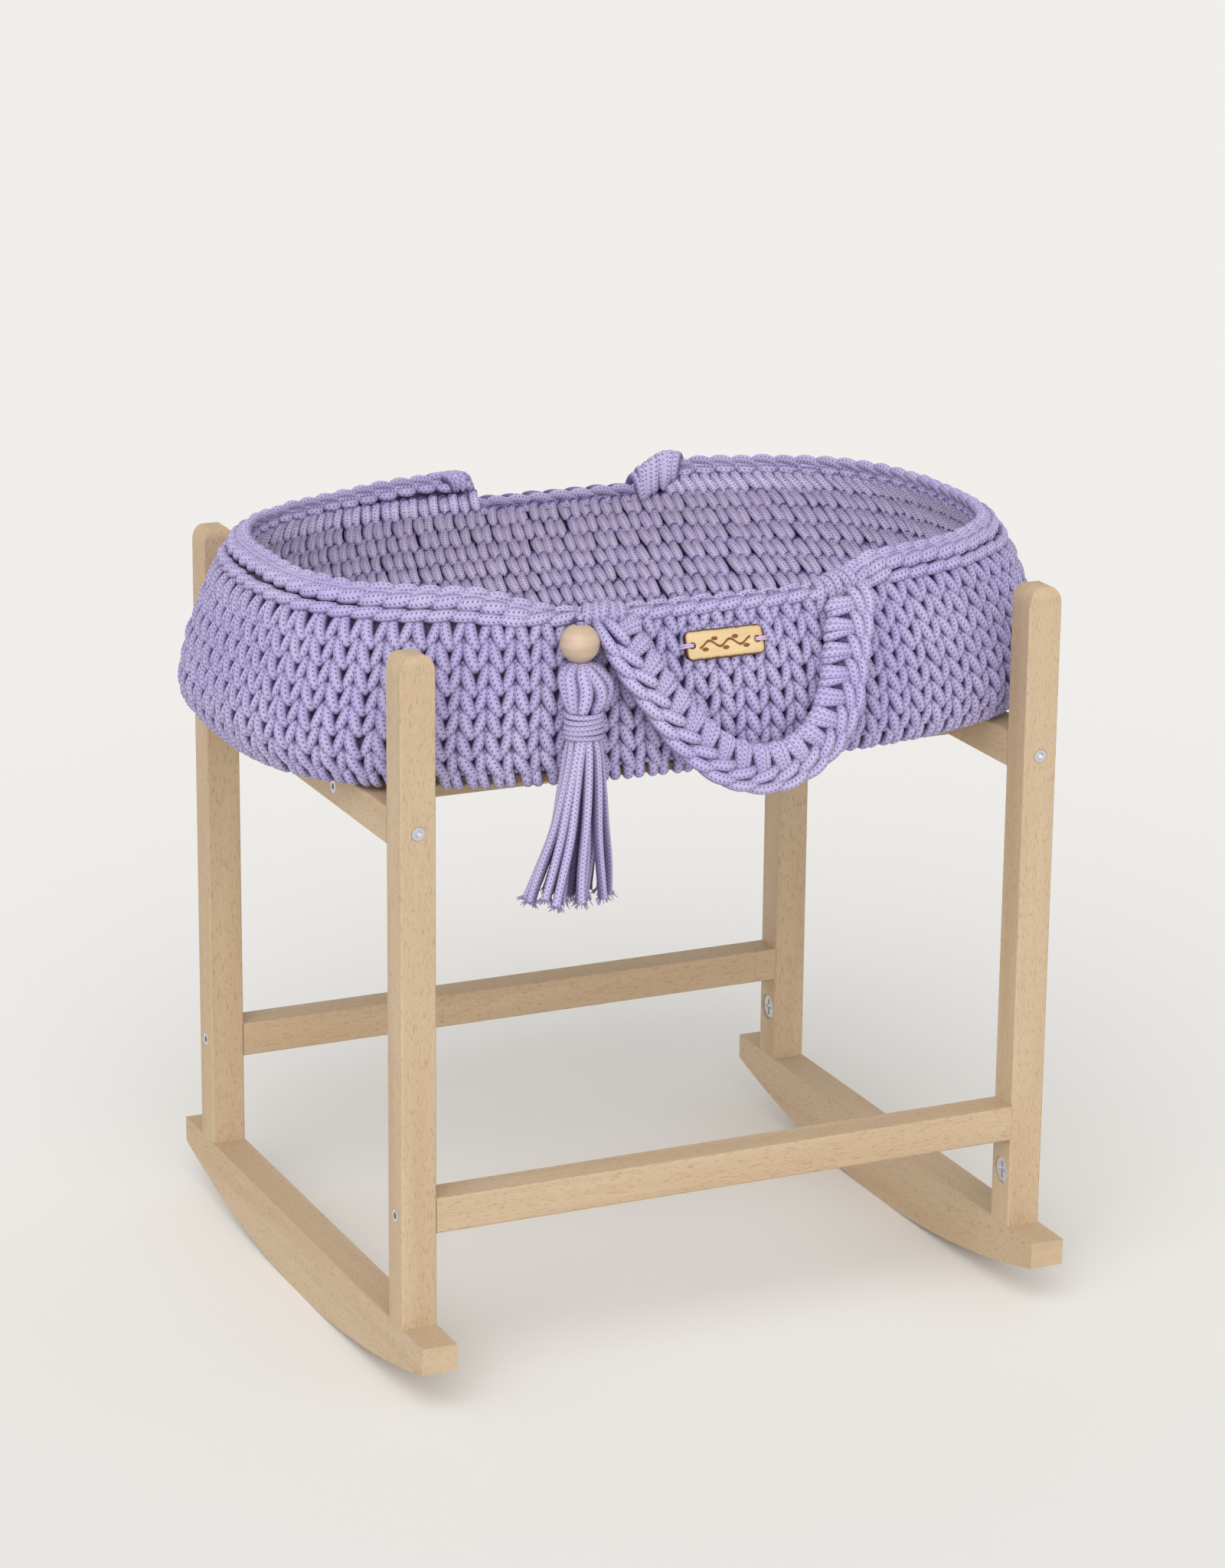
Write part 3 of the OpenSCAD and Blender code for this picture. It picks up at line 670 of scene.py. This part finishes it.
def rim_lines():
    """Chains of overlapping loops: two round the whole rim, a third on the high ends, short bars inside."""
    n = 12
    f0 = STITCHES
    top = rim_height(angle_at(f0))
    high = np.clip((top - RIM_LOW) / (RIM_HIGH - RIM_LOW), 0, 1)
    t = np.linspace(-1, 1, n)
    leaf_w, leaf_t = fat(n, 1.3, 3.6, 0.58, 1.0), fat(n, 1.3, 3.0, 0.58)
    deep = curve(np.array([-3.6, -1.5, 0.4, 1.2, 0.8, -1.2]), (t + 1) / 2)

    def chain(name, keep, z, off, rise, length, wide=leaf_w, thick=leaf_t, dip=deep, up=0.0,
              inner=False, replaced=(), crease_shade=0.6):
        s = Strands(name, cord_out, crease_shade=crease_shade)
        count = int(keep.sum())
        local = jitter(np.stack([4.0 + t * length, rise * t, dip], -1), count, 0.22)
        f1, z1, o1 = f0[keep], z[keep], off[keep]
        u, w, d = (local[..., i] * MM for i in range(3))
        f = f1[:, None] + u / GIRTH
        # each loop follows the rise and fall of the rim between its two ends
        follow = rim_height(angle_at(f)) - rim_height(angle_at(f1))[:, None]
        zz = z1[:, None] + w + np.clip(follow, -9 * MM, 9 * MM) * (z1 > 415 * MM)[:, None]
        path = wall(f, zz, o1[:, None] - d * (1 - up))
        path[..., 2] += d * up
        normal = wall_normal(f, zz) * (1 - up) + np.array([0, 0, up])
        normal *= (-1 if inner else 1) / np.linalg.norm(normal, axis=-1, keepdims=True)
        # painted shade: the ends of each loop are darkened where they pass under the next, with a little
        # random tone
        s.add(path, normal, wide, thick, np.abs(t) ** 4 * 0.45 + rng.uniform(0, 0.07, (count, 1)), sides=12)
        s.build("basket", *replaced)

    every = np.ones(COUNT, bool)
    ends = high > 0.3
    outer_z = RIM_LOW - 3.6 * MM + high * 4.2 * MM
    outer_off = -0.3 * MM + high * 0.8 * MM
    chain("rim_outer", every, outer_z, outer_off, 2.2, 12.0, replaced=("rim_braid",))
    chain("rim_top", every, top - 2.4 * MM, (6.8 - high * 1.4) * MM, 0.9, 11.4, up=0.75,
          crease_shade=0.25)
    chain("rim_middle", ends, top - 6.4 * MM, np.full(COUNT, 1.5 * MM), 2.6, 11.8,
          wide=fat(n, 1.5, 4.3, 0.58, 1.0), crease_shade=0.5)
    f = np.linspace(0, 1, 480)
    crest = rim_height(angle_at(f)) - 5.2 * MM
    # painted shade: the filler under the loops is darkened a little (0.1)
    filler = Strands("rim_filler", cord_out, crease_shade=0.0)
    filler.add(wall(f, crest, 4.4 * MM), wall_normal(f, crest), 4.4 * MM, 4.5 * MM, 0.1, round_ends=False)
    filler.build("basket")
    bar_w, bar_t = fat(n, 1.9, 3.0), fat(n, 1.8, 2.7)
    inward = -0.4 + 2.2 * np.abs(t) ** 2.4
    chain("rim_inner_bars", every, top - 6.4 * MM, np.full(COUNT, WALL_T - 0.6 * MM), 0.4, 6.4,
          wide=bar_w, thick=bar_t, dip=inward, inner=True)


rim_lines()


def lacing_row():
    """Pairs of short cords that wrap the edge of the plywood base."""
    n = 12
    s = Strands("lacing_loops", cord_out)
    for du, lean in ((-3.1, -0.5), (3.0, 0.6)):
        local = spline([(du + lean, 8.6, -4.6), (du + lean, 5.6, -2.2), (du, 2.4, -0.8), (du, -0.6, -0.9),
                        (du, -3.2, -3.2), (du, -3.9, -7.2), (du - lean, -3.9, -11.5)], n)
        pts = jitter(local, COUNT, 0.22)
        f = STITCHES[:, None] + pts[..., 0] * MM / GIRTH
        z = 333.0 * MM + pts[..., 1] * MM
        z = np.maximum(z, 330.6 * MM)
        path = wall(f, np.maximum(z, BASE_Z + 1 * MM), 0.4 * MM - pts[..., 2] * MM)
        path[..., 2] = z
        tan = np.gradient(path, axis=1)
        side = wall(f + 0.001, z, 0) - wall(f - 0.001, z, 0)
        normal = np.cross(tan, side)
        normal /= np.linalg.norm(normal, axis=-1, keepdims=True)
        # painted shade: each loop is darkened at its upper end, where it tucks under the lowest row
        tone = np.linspace(0.35, 0.0, n) ** 2
        s.add(path, normal, fat(n, 2.1, 3.0, 0.4, 0.5), fat(n, 1.9, 2.7, 0.4, 0.5), tone)
    s.build("basket", "lacing")


lacing_row()


# ---------------------------------------------------------------- handles

HINGE_Y, HINGE_Z = 141.0, 413.0
LEAN, DROP, BACK_SHIFT = math.radians(32), 90.0, 13.0
STRAP = [(-65, 0), (-64, 8), (-61, 18), (-52, 34), (-41, 51), (-27, 67), (-10, 80), (9, 86),
         (27, 84), (43, 75), (54, 60), (60, 43), (65, 24), (70, 8), (71, 0)]
STRAP_LINE = curve(np.array(STRAP, float), np.linspace(0, 1, 900))
STRAP_RUN = running_length(STRAP_LINE)
STRAP_LEN = STRAP_RUN[-1]


def on_line(c):
    c = np.clip(c, 0, STRAP_LEN)
    return np.stack([np.interp(c, STRAP_RUN, STRAP_LINE[:, k]) for k in (0, 1)], -1)


def strap(c, w, n, back=False):
    """Point of a handle: c along the strap, w towards its outer edge, n out of its face, in mm."""
    c, w, n = np.broadcast_arrays(np.asarray(c, float), w, n)
    inner = np.clip(c, 0, STRAP_LEN)
    q = on_line(inner)
    d = on_line(inner + 2) - on_line(inner - 2)
    d /= np.linalg.norm(d, axis=-1, keepdims=True)
    q = q + d * (c - inner)[..., None] + np.stack([-d[..., 1], d[..., 0]], -1) * w[..., None]
    x, s = q[..., 0], q[..., 1]
    a = LEAN * (1 - s / DROP)
    y = HINGE_Y + DROP / LEAN * (np.cos(a) - math.cos(LEAN)) + np.cos(a) * n
    z = HINGE_Z - DROP / LEAN * (math.sin(LEAN) - np.sin(a)) + np.sin(a) * n
    normal = np.stack([np.zeros_like(a), np.cos(a), np.sin(a)], -1)
    if back:
        x = x + BACK_SHIFT
    else:
        y, normal = -y, normal * np.array([1, -1, 1])
    return np.stack([x, y, z], -1) * MM, normal


def handle(name, body, node, back):
    s = Strands(name, cord_out, crease_shade=0.55)
    step = 12.6
    count = int(STRAP_LEN / step) + 1
    c0 = (np.arange(count) - (count - 1) / 2) * step + STRAP_LEN / 2

    def lay(points, n, wide, thick, tone=0.0, twist=None):
        pts = jitter(spline(points, n), count, 0.25)
        c = c0[:, None] + pts[..., 0]
        path, normal = strap(c, pts[..., 1], pts[..., 2], back)
        if twist is not None:
            mid, _ = strap(c, pts[..., 1] * 0.45, 0.0 * c, back)
            normal = path - mid
            normal /= np.linalg.norm(normal, axis=-1, keepdims=True)
        s.add(path, normal, wide, thick, tone, sides=10)

    # painted shade: the ends of each loop are darkened where they tuck under the next, and the strand lying
    # beneath a little throughout (0.1)
    end = np.abs(np.linspace(-1, 1, 12)) ** 3 * 0.4
    lay([(-10, 10.2, -1.6), (-4, 10.6, 1.8), (3, 10.0, 4.4), (9, 8.2, 4.6), (13.5, 5.6, 2.0)], 12,
        fat(12, 1.6, 3.7, 0.52, 1.0), fat(12, 1.5, 3.1), end)
    lay([(-7.4, 7.0, 1.8), (-3.0, 5.4, 4.8), (2.0, 3.0, 6.2), (6.0, 1.2, 5.8), (9.4, -0.6, 2.6)], 12,
        fat(12, 1.7, 3.4), fat(12, 1.6, 2.9), end)
    lay([(-9, 4.4, -2.0), (-3, 5.6, -4.2), (4, 5.2, -4.4), (10, 3.0, -2.4)], 10,
        fat(10, 1.6, 3.4, 0.5, 1.0), fat(10, 1.5, 2.6), 0.1)
    for k, dc in enumerate((-3.7, 0.2, 3.9)):
        turn = []
        for deg in (64, 82, 102, 122, 142, 162, 182, 204, 226, 248, 270, 292):
            a = math.radians(deg)
            gather = np.interp(deg, (64, 150, 210, 292), (0.35, 1.0, 1.0, 0.7))
            reach = 10.6 if k == 1 else 9.7
            w = reach * math.copysign(abs(math.cos(a)) ** 0.8, math.cos(a)) - 0.6
            n = 4.4 * math.copysign(abs(math.sin(a)) ** 0.8, math.sin(a)) + (0.7 if k == 1 else 0.0)
            turn.append((dc * gather + 0.26 * (w - 2) + 1.0, w, n))
        lay(turn, 20, fat(20, 1.6, 2.75, 0.42, 0.4), fat(20, 1.5, 2.5, 0.42, 0.4),
            np.abs(np.linspace(-1, 1, 20)) ** 4 * 0.4, twist=True)
    # painted shade: the core cord along the middle of the strap is darkened throughout (0.8), for the shade
    # between the wraps
    c = np.linspace(0, STRAP_LEN, 60)
    path, normal = strap(c, 0 * c, 0 * c, back)
    s.add(path, normal, 7.6 * MM, 3.4 * MM, 0.8, sides=12)
    s.build(body, node)


handle("handle_front_strap", "handle_front_body", "handle_front", False)
handle("handle_back_strap", "handle_back_body", "handle_back", True)


def root_loops():
    """Loops that tie the ends of both handles over the rim."""
    s = Strands("handle_root_loops", cord_out)
    # middle of each root, side of the basket, height over the rim, number of loops, spread, fatness
    roots = ((-66, -1, 1.2, 5, 23, 1.0), (70, -1, 2.8, 5, 24, 1.0), (-53, 1, -0.6, 4, 18, 1.0),
             (84, 1, 8.5, 8, 32, 1.2))
    for x0, side, lift, number, spread, fatness in roots:
        for k in range(number):
            share = (k + 0.5) / number * 2 - 1
            x = x0 + share * spread / 2
            bow = math.acos(min(1, (abs(x) / 220.5) ** 1.4))
            ang = bow if x > 0 else math.pi - bow
            ang = ang if side > 0 else -ang
            f = np.interp(ang % (2 * math.pi), ANGLES, LENGTHS / GIRTH)
            top = float(rim_height(np.array(ang))) / MM
            crest = lift * math.sqrt(max(0.0, 1 - share ** 2)) + rng.uniform(-0.5, 0.5)
            pts = spline([(11.8, top - 9.5), (10.9, top - 3.0 + crest * 0.3), (7.2, top + crest - 0.8),
                          (2.2, top + crest - 1.2), (-1.9, top - 3.6 + crest * 0.4), (-3.2, top - 9.5),
                          (-1.4, top - 14.0)], 18)
            lean = np.linspace(-1.0, 1.0, 18) * (3.0 * side * (0.5 - share) + rng.uniform(-3.0, 3.0))
            path = wall(f + lean * MM / GIRTH, np.full(18, (top - 4) * MM), pts[:, 0] * MM)
            path[:, 2] = pts[:, 1] * MM
            centre = wall(f, np.full(18, (top - 7) * MM), 5 * MM)
            normal = path - centre
            normal /= np.linalg.norm(normal, axis=-1, keepdims=True)
            girth = fatness * rng.uniform(0.92, 1.12)
            s.add(path, normal, fat(18, 1.8, 3.2, 0.5, 0.6) * girth, fat(18, 1.6, 2.8, 0.5, 0.6) * fatness,
                  rng.uniform(0, 0.08), sides=12)
    s.build("basket")


root_loops()


# ---------------------------------------------------------------- tassel and trim

# x, y, z of the middle and half width and depth at each level of the tassel, in mm; the band has no z
HEAD = np.array([[-88.5, -147.8, 395, 3.5, 3.5], [-88.7, -149.4, 393, 9, 7], [-89, -151.4, 390, 12.5, 9.5],
                 [-87.6, -154.0, 384, 14.5, 10.8], [-88.4, -156.2, 378.5, 13.5, 10.5],
                 [-90.2, -158.0, 374.5, 11, 9], [-91.2, -158.9, 371.0, 9.0, 7.6]])
SKIRT = np.array([[-92.2, -161.5, 361, 8.6, 7.2], [-92.3, -161.9, 356, 9.6, 8],
                  [-92.7, -162.7, 350, 11.2, 8.8], [-94, -163.5, 330, 14.5, 10],
                  [-96, -164, 310, 17, 11.5], [-99, -164.5, 291, 20.5, 13], [-102.5, -165, 272.5, 24, 15]])


BAND = np.array([[-91.3, -159.3, 9.3, 7.4], [-92, -161, 9.6, 7.7], [-92.2, -161.5, 9.2, 7.3]])


def around(rows, angle, n, inset, t0=0.0, t1=1.0, share=1.0):
    """A line down the side of a lofted form, at one angle."""
    r = curve(rows, np.linspace(t0, t1, n))
    ca, sa = np.cos(angle), np.sin(angle)
    x = r[:, 0] + (r[:, 3] * share - inset) * ca
    y = r[:, 1] + (r[:, 4] * share - inset) * sa
    normal = np.stack([ca * np.ones(n), sa * np.ones(n), np.zeros(n)], -1)
    return np.stack([x, y, r[:, 2]], -1) * MM, normal


def tassel():
    head = Strands("tassel_head_loops", cord_out)
    loops = 10
    for k in range(loops):
        n = 18
        t = np.linspace(0, 1, n)
        ang = 2 * math.pi * k / loops + rng.uniform(-0.08, 0.08) + 0.34 * (t - 0.5) * rng.uniform(-1, 1.6)
        path, normal = around(HEAD, ang, n, 2.7 + rng.uniform(-0.7, 0.5) * np.sin(math.pi * t))
        normal = normal + np.array([0, 0, 0.5]) * np.linspace(1.6, -0.4, n)[:, None]
        normal /= np.linalg.norm(normal, axis=-1, keepdims=True)
        # painted shade: each loop is darkened at its ends, under the ring at the top and at the band below
        head.add(path, normal, np.interp(t, [0, 0.25, 0.5, 0.85, 1], [1.6, 3.6, 4.3, 3.6, 2.6]) * MM,
                 np.interp(t, [0, 0.4, 1], [1.8, 3.1, 2.4]) * MM,
                 np.interp(t, [0, 0.12, 0.9, 1], [0.5, 0.0, 0.05, 0.4]), round_ends=False)
    for k in range(3):
        a = np.linspace(0, 2 * math.pi, 22)
        path = np.stack([-88.5 + 3.2 * np.cos(a + k), -148.0 + 3.2 * np.sin(a + k),
                         394.2 - 0.7 * k + 0 * a], -1) * MM
        head.add(path, np.array([0, 0, 1.0]), 1.5 * MM, 1.4 * MM, 0.1)
    head.build("tassel", "tassel_head")

    band = Strands("tassel_band_wraps", cord_out)
    for k in range(5):
        a = np.linspace(0, 2 * math.pi, 40) + math.pi / 2
        z = 370.9 - 2.85 * k + 0.5 * np.sin(a + k)
        r = curve(BAND, (371 - z) / 13)
        path = np.stack([r[:, 0] + r[:, 2] * np.cos(a), r[:, 1] + r[:, 3] * np.sin(a), z], -1) * MM
        normal = np.stack([np.cos(a), np.sin(a), 0 * a], -1)
        band.add(path, normal, 1.62 * MM, 1.5 * MM, 0.03 * k, round_ends=False)
    band.build("tassel", "tassel_band")

    skirt = Strands("tassel_strands", cord_out)
    ends = []
    rows = ((13, 2.4, 1.0, 0.0), (7, 1.8, 0.55, 0.35), (1, 0.0, 0.05, 0.2))
    for number, inset, share, turn in rows:
        for k in range(number):
            n = 34
            t = np.linspace(0, 1, n)
            stop = rng.uniform(0.955, 1.0)
            ang = 2 * math.pi * (k + turn) / number + rng.uniform(-0.1, 0.1) + 0.22 * np.sin(t * 3 + k) * t
            path, normal = around(SKIRT, ang, n, inset, 0.0, stop, share)
            wave = np.stack([np.sin(t * 7 + 1.7 * k), 0.5 * np.cos(t * 6 + k), 0 * t], -1)
            wave = wave * (1.5 * MM) * t[:, None]
            path = path + wave
            # painted shade: each strand is darkened at its top, under the band
            skirt.add(path, normal, np.interp(t, [0, 0.06, 0.2, 0.97, 1], [2.1, 2.3, 2.55, 2.5, 2.9]) * MM,
                      np.interp(t, [0, 0.2, 1], [2.1, 2.45, 2.5]) * MM,
                      np.interp(t, [0, 0.12, 1], [0.45, 0.04, 0.0]), sides=12, round_ends=False)
            ends.append((path[-1], path[-1] - path[-4]))
    skirt.build("tassel", "tassel_skirt")

    fray = Strands("tassel_frayed_ends", cord_out, crease_shade=0.15)
    for tip, run in ends:
        run = run / np.linalg.norm(run)
        count = 22
        side = rng.normal(0, 1, (count, 3))
        side -= (side @ run)[:, None] * run
        side /= np.linalg.norm(side, axis=1, keepdims=True)
        start = tip + side * rng.uniform(0.3, 2.3, (count, 1)) * MM - run * 1.0 * MM
        reach = rng.uniform(2.0, 4.4, (count, 1)) * MM
        flare = rng.uniform(0.2, 0.9, (count, 1))
        t = np.linspace(0, 1, 5)[None, :, None]
        path = (start[:, None] + (run[None] * reach + side * reach * flare)[:, None] * t
                + side[:, None] * (t ** 2) * 0.8 * MM)
        taper = 0.42 * MM * np.linspace(1, 0.5, 5)
        fray.add(path, np.array([0.1, 1.0, 0.2]), taper, taper,
                 rng.uniform(0, 0.2, (count, 1)), sides=5, round_ends=False)
    fray.build("tassel")

    neck = Strands("tassel_neck_cord", cord_out)
    path = spline([(-88.5, -147.5, 393.5), (-88.5, -147.5, 405), (-88.5, -147.5, 415),
                   (-88.5, -147.5, 417.6)], 12) * MM
    neck.add(path, np.array([0, -1.0, 0]), 2.2 * MM, 2.2 * MM, 0.1)
    neck.build("tassel", "tassel_neck")

    link = Strands("bead_cord_loop", cord_out)
    path = spline([(-86.0, -131.5, 408.5), (-86.4, -134.6, 411.5), (-87.2, -139.4, 415.6),
                   (-88.0, -143.8, 418.2), (-88.5, -147.0, 419.2), (-88.9, -149.4, 418.2)], 20) * MM
    link.add(path, np.array([0, -0.4, 1.0]), 2.3 * MM, 2.2 * MM, 0.05, sides=12)
    link.build("bead_link", "bead_cord")


tassel()


def tag_stitches():
    """Two turns of thin thread through each hole of the tag and back into the wall."""
    s = Strands("tag_stitch_threads", thread, crease_shade=0.3)
    for side in (-1, 1):
        for k in (-0.45, 0.45):
            pts = spline([(18.2, k, -1.5), (18.9, k, 2.1), (21.5, k * 1.2, 2.7), (24.2, k * 1.4, 1.6),
                          (25.4, k * 1.4, -2.4)], 12)
            x = TAG_X + side * pts[:, 0]
            path = np.stack([x, TAG_Y + TAG_SIN * pts[:, 1] - TAG_COS * pts[:, 2],
                             TAG_Z + TAG_COS * pts[:, 1] + TAG_SIN * pts[:, 2]], -1) * MM
            s.add(path, np.array([0, -TAG_COS, TAG_SIN]), 0.62 * MM, 0.55 * MM, 0.0, sides=8,
                  round_ends=False)
    s.build("basket", "tag_threads")


tag_stitches()
